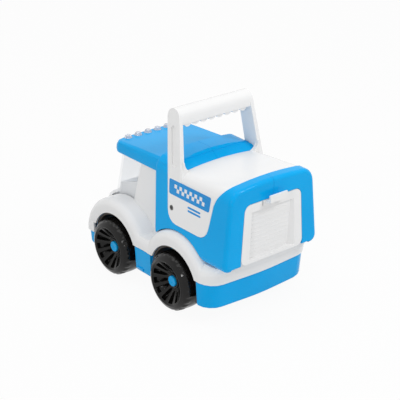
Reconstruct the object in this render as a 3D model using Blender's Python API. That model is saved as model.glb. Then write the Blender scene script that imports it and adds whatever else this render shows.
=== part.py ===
"""Toy truck with a cargo body, a carry handle, a drop-down rear door and four free wheels.

Metres, +Z up, +X forward, +Y to the left side. The pieces are modelled with x measured from
the middle of the wheelbase, and an empty carries them to the origin, which lies under the
middle of the whole truck on the floor.
"""

import math

import bmesh
import bpy
from mathutils import Matrix, Vector

MM = 0.001

# Fits and walls
WALL = 2.4 * MM
GAP = 0.3 * MM
CLEAR_WALL = 1.8 * MM
EDGE = 1.0 * MM
BEYOND = 10.0 * MM

# Wheels and axles
WHEEL_RADIUS = 35.0 * MM
WHEELBASE = 114.0 * MM
WHEEL_PROUD = 10.5 * MM
WHEEL_WIDTH = 31.0 * MM
DISH_RADIUS = 26.5 * MM
DISH_DEPTH = 13.0 * MM
HUB_RADIUS = 9.0 * MM
HUB_SINK = 11.8 * MM
SPOKES = 10
SPOKE_WIDTH = 2.6 * MM
TYRE_ROUND = 5.0 * MM
AXLE_RADIUS = 2.0 * MM
AXLE_CLEARANCE = 0.08 * MM
CAP_RADIUS = 6.5 * MM
CAP_HEIGHT = 2.6 * MM
CAP_GRIP = 1.5 * MM
CAP_EDGE = 0.6 * MM
WHEEL_BOSS = 2.0 * MM
TREAD_WALL = 3.0 * MM
TREAD_FILLET = 4.0 * MM
DISH_TAPER = 2.5 * MM
SPOKE_SINK = 3.0 * MM

# Lower pan
FLOOR_Z = 21.0 * MM
SEAM_Z = 51.5 * MM
FRONT_SEAM_Z = 38.0 * MM
HULL_HALF_WIDTH = 76.0 * MM
HULL_REAR = 125.5 * MM
HULL_FRONT = 113.0 * MM
HULL_BOW = 5.0 * MM
HULL_CORNER = 20.0 * MM
NOSE_CORNER = 6.0 * MM
HULL_DRAFT = 1.5 * MM
FLOOR_ROUND = 1.2 * MM
PAN_FRONT = 118.0 * MM
TRAY_STEP = 0.4 * MM
WELL_RADIUS = 43.5 * MM
WELL_CLEARANCE = 2.1 * MM
LINER_STEPS = 14

# Lower body
LEDGE_Z = 72.3 * MM
LEDGE_REAR = 135.5 * MM
LEDGE_INSET = 9.5 * MM
FENDER_RADIUS = 59.0 * MM
FENDER_BACK = 3.0 * MM
FENDER_ROUND = 9.0 * MM
FENDER_STEPS = 18
FENDER_STRETCH = 1.05
ARCH_RADIUS = 42.3 * MM
VALLEY_Z = 66.5 * MM
VALLEY_HALF = 15.0 * MM
CAB_INSET = 23.5 * MM
CAB_BACK = 6.7 * MM
BACK_LEAN = 0.1
BACK_LEAN_RISE = 11.5 * MM
CAB_FRONT = 111.0 * MM
HOOD_Z = 84.0 * MM
HOOD_ROUND = 8.0 * MM
PILLAR_FOOT_X = 50.0 * MM
PILLAR_HEAD_X = 30.5 * MM
WINDOW_FOOT_X = 96.0 * MM
WINDOW_HEAD_X = 80.5 * MM
WINDOW_TUCK = 8.0 * MM
SEAT_RISE = 34.0 * MM
SEAT_EDGE_DROP = 14.0 * MM
SEAT_EDGE_INSET = 13.0 * MM
SEAT_TOP_X = 40.0 * MM
SEAT_ROUND = 16.0 * MM
WINDOW_CORNER = 14.0 * MM
CAB_CORNER = 16.0 * MM
CAB_FLANK_DRAFT = 0.4
BULKHEAD_RISE = 15.0 * MM
TRAY_NOSE_TAPER = 4.0 * MM
FENDER_CLEARANCE = 1.0 * MM

# Cab roof
ROOF_LOW_Z = 146.6 * MM
ROOF_TOP_Z = 160.0 * MM
ROOF_RISE = 4.0 * MM
ROOF_OVERHANG = 1.5 * MM
ROOF_FRONT = 87.5 * MM
ROOF_BOW = 2.0 * MM
ROOF_ROUND = 5.0 * MM
ROOF_CORNER = 12.0 * MM
ROOF_REAR_ROUND = 5.0 * MM
LAMPS = 6
LAMP_EDGE = 17.5 * MM
LAMP_RADIUS = 4.8 * MM
LAMP_HEIGHT = 3.2 * MM
LAMP_SETBACK = 10.5 * MM

# Cargo body, whose sides lean inwards
SIDE_INSET = 7.0 * MM
SIDE_Y_AT_Z = 83.0 * MM
SIDE_LEAN = 0.109
CARGO_REAR = 140.0 * MM
CARGO_FRONT = -7.0 * MM
CARGO_TOP_Z = 174.5 * MM
CARGO_FALL = 2.6 * MM
CARGO_ROUND = 5.0 * MM
FRONT_ROUND = 3.5 * MM
FOOT_ROUND = 10.0 * MM
CROWN_DROP = 6.5 * MM
CROWN_SAG = 1.5 * MM
CROWN_SPREAD = 0.95
SHOULDER = 15.0 * MM
HOOP_WIDTH = 24.0 * MM
HOOP_SLOPE = 17.5 * MM
FRAME_WIDTH = 14.0 * MM

# Handle cover
COVER_WALL = 2.6 * MM
DECK_FRONT_DROP = 8.2 * MM
DECK_REAR_DROP = 1.2 * MM
PLATE_HEIGHT = 43.3 * MM
PLATE_REAR_X = -105.0 * MM
PLATE_FLARE_X = -113.0 * MM
FLARE_X = -116.8 * MM
FLARE_RISE = 9.2 * MM
FLARE_DROP = 5.4 * MM
FLARE_ROUND = 40.0 * MM
PLATE_ROUND = 16.0 * MM
PLATE_LAP = 1.5 * MM
FACE_STEP = 0.02 * MM
POST_STEP = 0.15 * MM
POST_FOOT_X = -35.5 * MM
POST_FOOT_DROP = 22.8 * MM
POST_WIDTH = 21.0 * MM
POST_DEPTH = 6.0 * MM
POST_RECESS = 2.4 * MM
POST_TAPER = 3.0 * MM
SLOT_INSET = 6.2 * MM
SLOT_RISE = 21.2 * MM
SLOT_DROP = 13.0 * MM
GRIP_X = -33.5 * MM
GRIP_RISE = 46.5 * MM
GRIP_RADIUS = 10.5 * MM
GRIP_DROP = 7.0 * MM
RIBS = 8
RIB_PITCH = 14.5 * MM
RIB_DROP = 4.2 * MM
RIB_FILL = 0.46
RIB_SINK = 1.0 * MM
RIB_SETBACK = 2.0 * MM

# Rear door
DOOR_HALF_WIDTH = 45.5 * MM
DOOR_LOW_Z = 76.0 * MM
DOOR_TOP_DROP = 24.9 * MM
DOOR_ROUND = 8.0 * MM
DOOR_GAP = 0.6 * MM
DOOR_WALL = 2.4 * MM
HINGE_INSET = 5.6 * MM
HINGE_RISE = 4.0 * MM
PANEL_HALF_WIDTH = 34.0 * MM
PANEL_TOP_DROP = 10.0 * MM
PANEL_DEPTH = 6.5 * MM
PANEL_TOP_DEPTH = 3.0 * MM
SLATS = 11
SLAT_RIDGE = 0.35 * MM
SLAT_ROOT = 1.0 * MM
TAB_WIDTH = 25.0 * MM
TAB_REACH = 9.0 * MM
TAB_RISE = 7.0 * MM
TAB_SLIT = 1.2 * MM
STUB_RADIUS = 1.8 * MM
STUB_LENGTH = 4.5 * MM
STUB_WALL = 1.0 * MM
LUG_WIDTH = 5.0 * MM
LUG_INSET = 1.0 * MM
PANEL_LOW_RISE = 3.0 * MM
LIP_DEPTH = 4.0 * MM

# Screws
SCREW_RADIUS = 1.4 * MM
SCREW_HOLE = 1.7 * MM
HEAD_RADIUS = 3.0 * MM
HEAD_HEIGHT = 1.2 * MM
BOSS_RADIUS = 4.4 * MM
SCREW_LENGTH = 9.0 * MM
CARGO_SCREW_INSET = 15.0 * MM
COVER_SCREW_X = -42.5 * MM
COVER_SCREW_RISE = 17.0 * MM
NOSE_SCREW_INSET = 11.5 * MM
TAIL_SCREW_INSET = 20.0 * MM
PAN_SCREW_Y = 30.0 * MM
MIDDLE_SCREW_INSET = 23.0 * MM
CARGO_SCREW_FRONT = 13.6 * MM
FRONT_SCREW_INSET = 8.0 * MM
CARGO_SCREW_REAR = 29.0 * MM

# Values that follow from the ones above
AXLE_X = WHEELBASE / 2
AXLE_Z = WHEEL_RADIUS
WHEEL_OUTER_Y = HULL_HALF_WIDTH + WHEEL_PROUD
LEDGE_HALF_WIDTH = HULL_HALF_WIDTH - LEDGE_INSET
CAB_HALF_WIDTH = HULL_HALF_WIDTH - CAB_INSET
ROOF_HALF_WIDTH = CAB_HALF_WIDTH + ROOF_OVERHANG
SIDE_Y = HULL_HALF_WIDTH - SIDE_INSET
LAMP_PITCH = 2 * (ROOF_HALF_WIDTH - LAMP_EDGE) / (LAMPS - 1)
WELL_INNER_Y = WHEEL_OUTER_Y - WHEEL_WIDTH - WHEEL_BOSS - WELL_CLEARANCE - WALL
FENDER_INNER_Y = WELL_INNER_Y - FENDER_BACK
SHELL_REACH = CARGO_REAR + TAB_REACH
FENDER_LOSS = (FRONT_SEAM_Z + GAP - AXLE_Z) * math.tan(math.pi / FENDER_STEPS / 2)
FRONT_REACH = AXLE_X + (FENDER_RADIUS - FENDER_LOSS) * FENDER_STRETCH
MIDDLE_X = (SHELL_REACH - FRONT_REACH) / 2
HINGE_X = -CARGO_REAR + HINGE_INSET
HINGE_Z = DOOR_LOW_Z + HINGE_RISE
NOSE_X = AXLE_X + ARCH_RADIUS
HOOP_BACK = CARGO_FRONT - HOOP_WIDTH
DECK_FRONT = HOOP_BACK - HOOP_SLOPE
DECK_REAR = -CARGO_REAR + FRAME_WIDTH
CARGO_REAR_TOP_Z = CARGO_TOP_Z - CARGO_FALL
HOOP_TOP_Z = CARGO_TOP_Z - CROWN_SAG
DECK_FRONT_Z = CARGO_TOP_Z - DECK_FRONT_DROP
DECK_REAR_Z = CARGO_REAR_TOP_Z - DECK_REAR_DROP
LEG_Z = DECK_FRONT_Z - CROWN_DROP - SHOULDER
PLATE_LOW_Z = LEG_Z - PLATE_HEIGHT
FLARE_Z = LEG_Z + FLARE_RISE
FLARE_TOP_Z = CARGO_REAR_TOP_Z - FLARE_DROP
POST_FOOT_Z = LEG_Z - POST_FOOT_DROP
GRIP_Z = CARGO_TOP_Z + GRIP_RISE
DOOR_TOP_Z = CARGO_REAR_TOP_Z - DOOR_TOP_DROP
COVER_SCREW_Z = PLATE_LOW_Z + COVER_SCREW_RISE
POST_SLOPE = (GRIP_X + GRIP_RADIUS - POST_FOOT_X) / (GRIP_Z - POST_FOOT_Z)
HUB_Y = WHEEL_OUTER_Y - HUB_SINK
FAR = 400.0 * MM

BLUE = (0.016, 0.287, 0.687)
WHITE = (0.86, 0.86, 0.86)
BLACK = (0.012, 0.012, 0.013)
STEEL = (0.55, 0.56, 0.58)
CLEAR = (0.80, 0.85, 0.90)


def clear_scene():
    for item in list(bpy.data.objects):
        bpy.data.objects.remove(item)


def finish_of(name, colour, roughness, metallic=0.0, transmission=0.0):
    material = bpy.data.materials.new(name)
    material.use_nodes = True
    shader = material.node_tree.nodes["Principled BSDF"]
    shader.inputs["Base Color"].default_value = (*colour, 1.0)
    shader.inputs["Roughness"].default_value = roughness
    shader.inputs["Metallic"].default_value = metallic
    shader.inputs["Transmission Weight"].default_value = transmission
    return material


def add_object(name, shape, material=None):
    """A mesh object from a bmesh, which is freed."""
    bmesh.ops.recalc_face_normals(shape, faces=shape.faces)
    mesh = bpy.data.meshes.new(name)
    shape.to_mesh(mesh)
    shape.free()
    piece = bpy.data.objects.new(name, mesh)
    bpy.context.scene.collection.objects.link(piece)
    if material:
        mesh.materials.append(material)
    return piece


def rounded(corners, steps=4):
    """Closed outline with an arc at each (a, b, radius) corner."""
    outline = []
    count = len(corners)
    for i, (a, b, radius) in enumerate(corners):
        here = Vector((a, b))
        before = (Vector(corners[i - 1][:2]) - here).normalized()
        after = (Vector(corners[(i + 1) % count][:2]) - here).normalized()
        half = before.angle(after) / 2
        if radius == 0 or half > math.pi / 2 - 1e-4:
            outline.append(here)
            continue
        reach = radius / math.tan(half)
        centre = here + (before + after).normalized() * radius / math.sin(half)
        start = here + before * reach - centre
        turn = start.angle_signed(here + after * reach - centre)
        for k in range(steps + 1):
            spot = start.copy()
            spot.rotate(Matrix.Rotation(-turn * k / steps, 2))
            outline.append(centre + spot)
    return outline


def grown(outline, distance):
    """The outline pushed out by a distance, or in where it is negative."""
    area = sum(p.cross(outline[(i + 1) % len(outline)]) for i, p in enumerate(outline))
    side = math.copysign(1.0, area)
    moved = []
    for i, spot in enumerate(outline):
        first = (spot - outline[i - 1]).normalized()
        second = (outline[(i + 1) % len(outline)] - spot).normalized()
        push = Vector((first.y + second.y, -first.x - second.x)) * side
        push.normalize()
        lean = abs(push.dot(Vector((first.y, -first.x))))
        moved.append(spot + push * distance / max(lean, 0.3))
    return moved


def lofted(sections, ring=False):
    """A closed solid through rings of points, with an end face at each end or joined into a ring."""
    shape = bmesh.new()
    loops = [[shape.verts.new(p) for p in section] for section in sections]
    if ring:
        loops.append(loops[0])
    else:
        shape.faces.new(loops[0])
        shape.faces.new(loops[-1])
    sides = []
    for below, above in zip(loops, loops[1:]):
        for k in range(len(below)):
            sides.append(shape.faces.new((below[k - 1], below[k], above[k], above[k - 1])))
    bmesh.ops.connect_verts_nonplanar(shape, angle_limit=1e-4, faces=sides)
    return shape


def plan(outline, z):
    return [Vector((p.x, p.y, z)) for p in outline]


def slab(outline, low, high):
    return lofted([plan(outline, low), plan(outline, high)])


def side_prism(outline, y0, y1):
    """An outline in the XZ plane, given thickness along Y."""
    return lofted([[Vector((p.x, y, p.y)) for p in outline] for y in (y0, y1)])


def rear_prism(outline, x0, x1):
    """An outline in the YZ plane, given thickness along X."""
    return lofted([[Vector((x, p.x, p.y)) for p in outline] for x in (x0, x1)])


def block(low, high):
    corners = [Vector((a, b)) for a, b in
               ((low[0], low[1]), (high[0], low[1]), (high[0], high[1]), (low[0], high[1]))]
    return slab(corners, low[2], high[2])


def rod(start, end, radius, segments=16):
    """A cylinder between two points along one axis."""
    shape = bmesh.new()
    start, end = Vector(start), Vector(end)
    turn = Vector((0, 0, 1)).rotation_difference(end - start).to_matrix().to_4x4()
    place = Matrix.Translation((start + end) / 2) @ turn
    bmesh.ops.create_cone(shape, cap_ends=True, segments=segments, radius1=radius,
                          radius2=radius, depth=(end - start).length, matrix=place)
    return shape


def turned(profile, segments, arc=math.tau, start=0.0):
    """A (radius, y) outline turned about the Y axis, from +X over the top."""
    full = arc == math.tau
    sections = []
    for k in range(segments if full else segments + 1):
        turn = Matrix.Rotation(-start - arc * k / segments, 3, "Y")
        sections.append([turn @ Vector((r, y, 0)) for r, y in profile])
    shape = lofted(sections, ring=full)
    bmesh.ops.remove_doubles(shape, verts=shape.verts, dist=1e-7)
    return shape


def moved(shape, offset):
    bmesh.ops.translate(shape, verts=shape.verts, vec=offset)
    return shape


def mirrored(shape):
    """The same shape on the other side of the truck."""
    bmesh.ops.scale(shape, verts=shape.verts, vec=(1, -1, 1))
    bmesh.ops.reverse_faces(shape, faces=shape.faces)
    return shape


def combine(piece, shape, operation):
    """Joins a shape to a piece, or cuts it out."""
    tool = add_object("tool", shape)
    tool.hide_render = True
    tool.display_type = "WIRE"
    change = piece.modifiers.new("shape", "BOOLEAN")
    change.operation = operation
    change.solver = "EXACT"
    change.object = tool
    graph = bpy.context.evaluated_depsgraph_get()
    result = bpy.data.meshes.new_from_object(piece.evaluated_get(graph))
    piece.modifiers.clear()
    piece.data = result
    bpy.data.objects.remove(tool)


def shape_of(piece):
    """A helper's shape, with the helper taken out of the scene."""
    shape = bmesh.new()
    shape.from_mesh(piece.data)
    bpy.data.objects.remove(piece)
    return shape


def join(piece, *shapes):
    for shape in shapes:
        combine(piece, shape, "UNION")


def cut(piece, *shapes):
    for shape in shapes:
        combine(piece, shape, "DIFFERENCE")


def both_sides(make):
    """The shape that make() gives, and its mirror image."""
    return [make(), mirrored(make())]


def side_y(z):
    """How far out the leaning cargo side lies at a height."""
    return SIDE_Y - SIDE_LEAN * (z - SIDE_Y_AT_Z)


def back_lean(z):
    """How far the leaning joint between cab and cargo body has gone back at a height."""
    return BACK_LEAN * (ROOF_LOW_Z + BACK_LEAN_RISE - z)


def leaned(shape):
    """Leans the sides of a shape that was drawn upright."""
    for vert in shape.verts:
        vert.co.y *= side_y(vert.co.z) / SIDE_Y
    return shape


def hull(rear, front, half_width, nose):
    """Plan of the lower body: straight sides, bowed ends and round corners."""
    swell = 4 * half_width
    corner = HULL_CORNER
    return rounded([
        (-rear + HULL_BOW, -half_width, corner), (front - HULL_BOW, -half_width, nose),
        (front, 0, swell), (front - HULL_BOW, half_width, nose),
        (-rear + HULL_BOW, half_width, corner), (-rear, 0, swell)])


def pan_sections(inset, low):
    """Rings of the pan from its floor to the seam, drawn in towards the floor."""
    high = SEAM_Z + BEYOND if inset else SEAM_Z
    drawn = [(low, HULL_DRAFT + FLOOR_ROUND), (FLOOR_Z + 2 * FLOOR_ROUND + inset, HULL_DRAFT), (high, 0.0)]
    return [plan(hull(HULL_REAR - d - inset, PAN_FRONT - d - inset,
                      HULL_HALF_WIDTH - d - inset, NOSE_CORNER), z) for z, d in drawn]


def well_box(margin):
    """The space for one left wheel in the pan, with a margin round it."""
    reach = WELL_RADIUS - WALL / 2 + margin
    return block((-reach, WELL_INNER_Y + WALL - margin, 0), (reach, FAR, FAR))


def make_pan(material):
    pan = add_object("chassis_pan", lofted(pan_sections(0, FLOOR_Z)), material)
    room = add_object("room", lofted(pan_sections(WALL, FLOOR_Z + WALL)))
    for x in (AXLE_X, -AXLE_X):
        for wide, tight in zip(both_sides(lambda: well_box(WALL)), both_sides(lambda: well_box(0))):
            cut(room, moved(wide, (x, 0, 0)))
            cut(pan, moved(tight, (x, 0, 0)))
    cut(pan, shape_of(room))
    cut(pan, block((NOSE_X, -FAR, FRONT_SEAM_Z), (FAR, FAR, FAR)))
    liner_end = HULL_HALF_WIDTH - WALL - GAP - EDGE
    for x in (AXLE_X, -AXLE_X):
        back, front = WELL_INNER_Y + WALL / 6, WELL_INNER_Y + WALL * 5 / 6
        profile = [(HUB_RADIUS, back), (WELL_RADIUS, back), (WELL_RADIUS, liner_end),
                   (WELL_RADIUS - WALL, liner_end), (WELL_RADIUS - WALL, front), (HUB_RADIUS, front)]
        for liner in both_sides(lambda: turned(profile, LINER_STEPS, math.pi)):
            join(pan, moved(liner, (x, 0, AXLE_Z)))
        hole = rod((x, -FAR, AXLE_Z), (x, FAR, AXLE_Z), AXLE_RADIUS + AXLE_CLEARANCE)
        cut(pan, hole)
    sink = HEAD_HEIGHT + 2 * GAP
    for x, y in pan_screw_places():
        join(pan, rod((x, y, FLOOR_Z + WALL / 2), (x, y, FLOOR_Z + 2 * WALL), BOSS_RADIUS + EDGE, 16))
        cut(pan, rod((x, y, 0), (x, y, FLOOR_Z + 3 * WALL), SCREW_HOLE))
        cut(pan, rod((x, y, 0), (x, y, FLOOR_Z + sink), HEAD_RADIUS + GAP))
    return pan


def pan_screw_places():
    middle = CARGO_FRONT - MIDDLE_SCREW_INSET
    rows = (HULL_FRONT - NOSE_SCREW_INSET, middle, -HULL_REAR + TAIL_SCREW_INSET)
    return [(x, side * PAN_SCREW_Y) for x in rows for side in (1, -1)]


def cargo_screw_places():
    places = ((CARGO_FRONT - CARGO_SCREW_FRONT, FENDER_INNER_Y - FRONT_SCREW_INSET),
              (-CARGO_REAR + CARGO_SCREW_REAR, SIDE_Y - CARGO_SCREW_INSET))
    return [(x, side * y, LEDGE_Z) for x, y in places for side in (1, -1)]


def fender_profile(inset):
    outer = FENDER_RADIUS - inset
    face = HULL_HALF_WIDTH - inset
    inner = FENDER_INNER_Y + inset
    low = ARCH_RADIUS / 2 if inset else ARCH_RADIUS - WALL
    return [(p.x, p.y) for p in rounded([
        (low, inner, 0), (low, face, 0), (outer, face, FENDER_ROUND - inset), (outer, inner, 0)])]


def stretched(shape, axle_x):
    """Reaches the front of a front fender further forward."""
    if axle_x > 0:
        for vert in shape.verts:
            vert.co.x *= FENDER_STRETCH if vert.co.x > 0 else 1.0
    return shape


def tray_sections(inset):
    """Rings of the white tray, from the seam up to the deck under the cargo body."""
    rise = LEDGE_Z - SEAM_Z
    steps = [(0.40, 0.35, 0.0), (0.60, 0.60, 0.1), (0.78, 0.80, 0.45), (1.0, 1.0, 1.0)]
    wide = HULL_HALF_WIDTH - TRAY_STEP
    rings = [(FRONT_SEAM_Z + GAP - inset * 4, HULL_REAR, wide, HULL_FRONT)]
    for up, back, narrow in steps:
        rings.append((SEAM_Z + up * rise - inset * (up == 1.0),
                      HULL_REAR + back * (LEDGE_REAR - HULL_REAR),
                      wide - narrow * (wide - LEDGE_HALF_WIDTH),
                      HULL_FRONT - narrow * TRAY_NOSE_TAPER))
    return [plan(hull(rear - inset, front - inset, half - inset, HULL_CORNER), z)
            for z, rear, half, front in rings]


def cab_sections(inset):
    half = CAB_HALF_WIDTH
    low = SEAM_Z - WALL - 8 * inset
    steps = ((low, 0.0), (HOOD_Z - HOOD_ROUND, 0.0), (HOOD_Z - HOOD_ROUND * 0.35, HOOD_ROUND * 0.24),
             (HOOD_Z - inset, HOOD_ROUND * 0.8))
    rings = []
    for z, drawn in steps:
        back = -CAB_BACK - back_lean(HOOD_Z) + inset
        front = CAB_FRONT - drawn - inset
        flank = half - inset - drawn * CAB_FLANK_DRAFT
        outline = rounded([(back, -half + inset, 0), (front, -flank, CAB_CORNER),
                           (front, flank, CAB_CORNER), (back, half - inset, 0)])
        rings.append(plan(outline, z))
    return rings


def seat_outline(inset):
    """The cab's bench seen from the side, or the hollow under it: a flat top with a round front."""
    low = HOOD_Z - 2 * WALL - 2 * inset
    top = HOOD_Z + SEAT_RISE - inset
    back = -CAB_BACK + WALL / 2 + 1.5 * inset
    front = WINDOW_FOOT_X
    edge = front - SEAT_EDGE_INSET - inset
    foot = [(back - back_lean(low), low, 0), (front, low, 0), (front, HOOD_Z - inset, SEAT_ROUND / 4)]
    crown = [(edge, top - SEAT_EDGE_DROP, SEAT_ROUND), (SEAT_TOP_X, top, 2 * SEAT_ROUND)]
    return rounded(foot + crown + [(back - back_lean(top), top, 0)])


def make_seat(inset):
    """The cab's bench, or the hollow under it, kept clear of the windows round it."""
    seat = add_object("seat", side_prism(seat_outline(inset), -FAR, FAR))
    heights = (SEAM_Z, HOOD_Z, ROOF_LOW_Z)
    rings = [window_ring(z, CLEAR_WALL + GAP + inset, -CAB_BACK - back_lean(SEAM_Z)) for z in heights]
    combine(seat, lofted(rings), "INTERSECT")
    return shape_of(seat)


def make_lower_body(material):
    body = add_object("lower_body", lofted(tray_sections(0)), material)
    room = add_object("room", lofted(tray_sections(WALL)))
    for dip, hollow in ((body, 0.0), (room, WALL)):
        for valley in both_sides(lambda: block((-VALLEY_HALF - hollow, CAB_HALF_WIDTH - WALL / 2 - hollow,
                                                VALLEY_Z - hollow), (VALLEY_HALF + hollow, FAR, FAR))):
            cut(dip, valley)
    join(body, lofted(cab_sections(0)))
    join(room, lofted(cab_sections(WALL)))
    for x in (AXLE_X, -AXLE_X):
        over = 0.7 * math.pi / FENDER_STEPS
        for skin in both_sides(lambda: turned(fender_profile(0), FENDER_STEPS, math.pi)):
            join(body, moved(stretched(skin, x), (x, 0, AXLE_Z)))
        for hollow in both_sides(lambda: turned(fender_profile(WALL), FENDER_STEPS + 2,
                                                math.pi + 2 * over, -over)):
            join(room, moved(stretched(hollow, x), (x, 0, AXLE_Z)))
    below = SEAM_Z + GAP
    cut(body, block((-FAR, -FAR, 0), (NOSE_X + GAP, FAR, below)))
    cut(body, block((0, -FAR, 0), (FAR, FAR, FRONT_SEAM_Z + GAP)))
    for x in (AXLE_X, -AXLE_X):
        for side in (1, -1):
            start = (x, side * (HULL_HALF_WIDTH - 2 * WALL), AXLE_Z)
            cut(body, rod(start, (x, side * FAR, AXLE_Z), ARCH_RADIUS, 40))
    cut(body, shape_of(room))
    hole_half = CAB_HALF_WIDTH - WALL
    cut(body, block((0, -hole_half, HOOD_Z - 2 * WALL), (WINDOW_FOOT_X + GAP, hole_half, FAR)))
    low, high = SEAM_Z + BULKHEAD_RISE, ROOF_LOW_Z - GAP
    foot_x, head_x = (FACE_STEP - CAB_BACK - back_lean(z) for z in (low, high))
    bulkhead = [Vector(p) for p in ((foot_x, low), (foot_x + WALL, low),
                                    (head_x + WALL, high), (head_x, high))]
    half = CAB_HALF_WIDTH - FACE_STEP
    join(body, side_prism(bulkhead, -half, half))
    foot = HOOD_Z - 1.2 * WALL
    pillar = [Vector(p) for p in ((FACE_STEP - CAB_BACK - back_lean(foot), foot), (PILLAR_FOOT_X, foot),
                                  (PILLAR_HEAD_X, high), (head_x + FACE_STEP, high))]
    for side in both_sides(lambda: side_prism(pillar, half - WALL, half - FACE_STEP)):
        join(body, side)
    join(body, make_seat(0.0))
    cut(body, make_seat(WALL))
    for x, y in pan_screw_places():
        roof = HOOD_Z if x > 0 else LEDGE_Z
        join(body, rod((x, y, FLOOR_Z + 2 * WALL + GAP), (x, y, roof - WALL / 2), BOSS_RADIUS, 12))
        cut(body, rod((x, y, 0), (x, y, FLOOR_Z + SCREW_LENGTH + 2 * WALL), SCREW_HOLE, 10))
    for x, y, z in cargo_screw_places():
        cut(body, rod((x, y, z - 2 * WALL), (x, y, z + WALL), SCREW_HOLE, 10))
    return body


def post_front(z):
    """Where the front edge of the leaning handle post is at a height."""
    return POST_FOOT_X + POST_SLOPE * (z - POST_FOOT_Z)


def plate_outline():
    """Shield-shaped side plate with the foot of the post, in the XZ plane."""
    top = LEG_Z + PLATE_LAP
    return rounded([
        (post_front(top), top, 0), (post_front(PLATE_LOW_Z), PLATE_LOW_Z, PLATE_ROUND),
        (PLATE_REAR_X, PLATE_LOW_Z, PLATE_ROUND), (PLATE_FLARE_X, top, 0)])


def flare(offset):
    """Rear edge of the cover's flank from the plate up to the deck, moved back by an offset."""
    edge = rounded([(PLATE_FLARE_X, LEG_Z - PLATE_LAP, 0), (PLATE_FLARE_X, LEG_Z, 0),
                    (FLARE_X, FLARE_Z, FLARE_ROUND), (DECK_REAR + GAP, FLARE_TOP_Z, 0)])
    return [Vector((p.x - offset, p.y)) for p in edge]


def crowned(top, low, inset, foot=0.0):
    """Cross-section of the cargo body or its cover, in the YZ plane: crowned, with round shoulders."""
    half = SIDE_Y - inset
    edge = top - CROWN_DROP - inset
    soft = SHOULDER - inset
    crown = CROWN_SPREAD * (half - soft) * half / CROWN_DROP
    return rounded([(half, low, foot), (half, edge, soft), (0, top - inset, crown),
                    (-half, edge, soft), (-half, low, foot)], 5)


def cargo_ring(x, top, inset):
    """One ring of the cargo body, drawn in by an inset, with its lower corners turned under."""
    ring = crowned(top, LEDGE_Z + GAP + inset, inset, FOOT_ROUND - inset)
    return [Vector((x, p.x, p.y)) for p in ring]


def leaned_back(ring):
    """A ring of the cargo body's front end, which leans back as the cab does."""
    return [p - Vector((back_lean(p.z), 0, 0)) for p in ring]


def cargo_box(inset):
    """The cargo body's outer form, or the room inside it, with its ends rounded."""
    soft = CARGO_ROUND - inset
    blunt = FRONT_ROUND - inset
    sections = []
    for k in range(5):
        turn = math.pi / 2 * k / 4
        x = -CARGO_REAR + inset + soft * (1 - math.cos(turn))
        sections.append(cargo_ring(x, CARGO_REAR_TOP_Z, inset + soft * (1 - math.sin(turn))))
    for k in range(4):
        turn = math.pi / 2 * k / 3
        x = CARGO_FRONT - inset - blunt * (1 - math.sin(turn))
        sections.append(leaned_back(cargo_ring(x, CARGO_TOP_Z, inset + blunt * (1 - math.cos(turn)))))
    return leaned(lofted(sections))


def saddle_room(margin):
    """The space above and between hoop and rear frame that the handle cover fills."""
    low = LEG_Z - margin
    high = CARGO_TOP_Z + CROWN_DROP
    front = [Vector(p) for p in (
        (HOOP_BACK + margin, high), (HOOP_BACK + margin, HOOP_TOP_Z - margin),
        (DECK_FRONT + margin, DECK_FRONT_Z - CROWN_SAG - COVER_WALL - margin), (DECK_FRONT + margin, low))]
    rear = flare(GAP + margin)[1:]
    rear[0].y = low
    return side_prism(front + rear + [Vector((rear[-1].x, high))], -FAR, FAR)


def door_outline(growth):
    return grown(rounded([
        (-DOOR_HALF_WIDTH, DOOR_LOW_Z, DOOR_ROUND), (DOOR_HALF_WIDTH, DOOR_LOW_Z, DOOR_ROUND),
        (DOOR_HALF_WIDTH, DOOR_TOP_Z, DOOR_ROUND), (-DOOR_HALF_WIDTH, DOOR_TOP_Z, DOOR_ROUND)]), growth)


def seat_in_side(outline, depth, margin):
    """The space that an inlaid piece takes in the leaning left side, with a margin round it."""
    return leaned(side_prism(grown(outline, margin), SIDE_Y - depth - margin, FAR))


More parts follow.
